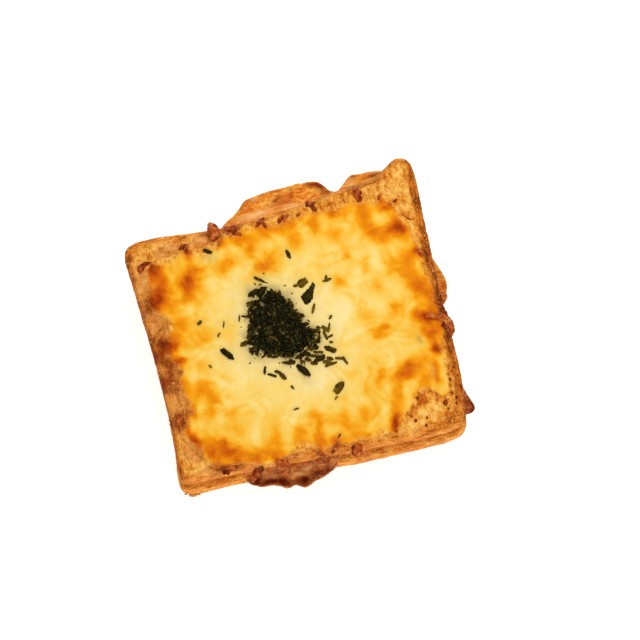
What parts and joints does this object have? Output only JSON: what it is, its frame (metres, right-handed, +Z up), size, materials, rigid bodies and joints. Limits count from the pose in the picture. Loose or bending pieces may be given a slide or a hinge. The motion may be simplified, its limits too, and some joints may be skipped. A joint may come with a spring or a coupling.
{
  "type": "croque monsieur",
  "caption": "Toasted ham sandwich of square sandwich loaf, with melted browned cheese on top and a heap of dried parsley near the middle.",
  "frame": {"origin": "on the surface that the sandwich rests on, under the middle of its bounding box", "axes": "+X along the front crust towards the right, +Y towards the back crust, +Z up from the lower slice to the cheese"},
  "size_m": [0.135, 0.1324, 0.0343],
  "materials": {
    "bread_bottom": "toasted bread crumb and brown crust",
    "ham_back": "baked cooked ham, slightly glossy, browned edge",
    "ham_front": "baked cooked ham, slightly glossy, dark browned edge",
    "bread_top": "toasted bread crumb and brown crust",
    "cheese_topping": "melted cheese, glossy, pale in the middle and browned in patches",
    "parsley_heap": "dried dark green parsley flakes"
  },
  "bodies": {
    "root": {"bread_bottom": "bread_bottom", "ham_back": "ham_back", "ham_front": "ham_front", "bread_top": "bread_top", "cheese_topping": "cheese_topping", "parsley_heap": "parsley_heap"}
  },
  "joints": []
}
